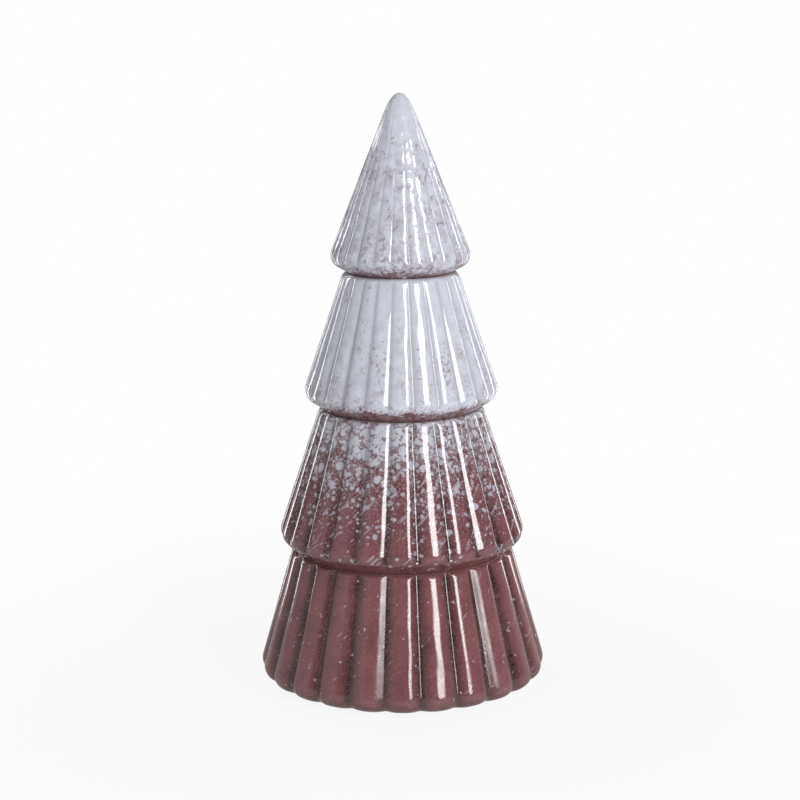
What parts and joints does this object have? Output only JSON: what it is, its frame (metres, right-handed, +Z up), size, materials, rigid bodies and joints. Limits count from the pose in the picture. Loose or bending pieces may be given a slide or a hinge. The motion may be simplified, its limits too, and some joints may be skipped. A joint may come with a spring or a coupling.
{
  "type": "ceramic christmas tree",
  "caption": "Tabletop Christmas tree of stacked, fluted hollow ceramic tiers in a snowy two-tone glaze, closed below by a vented foot plate on stick-on feet.",
  "frame": {"origin": "middle of the plane that the feet rest on", "axes": "+Z up along the tree's axis, -Y towards the viewer of the picture"},
  "size_m": [0.0974, 0.0974, 0.2],
  "materials": {
    "snow_glaze": "glossy bluish white glaze with mauve showing through on rib crests and undersides",
    "flecked_glaze": "glossy mauve brown glaze with white flecks and streaks, dense at the top",
    "mauve_glaze": "glossy mauve brown glaze with few white flecks",
    "bare_ceramic": "unglazed fired stoneware",
    "bumper_rubber": "matt dark rubber"
  },
  "bodies": {
    "root": {"apex_tier": "snow_glaze", "upper_tier": "snow_glaze", "lower_tier": "flecked_glaze", "base_tier": "mauve_glaze", "foot_plate": "bare_ceramic", "bumper_foot_1": "bumper_rubber", "bumper_foot_2": "bumper_rubber", "bumper_foot_3": "bumper_rubber", "bumper_foot_4": "bumper_rubber"}
  },
  "joints": []
}
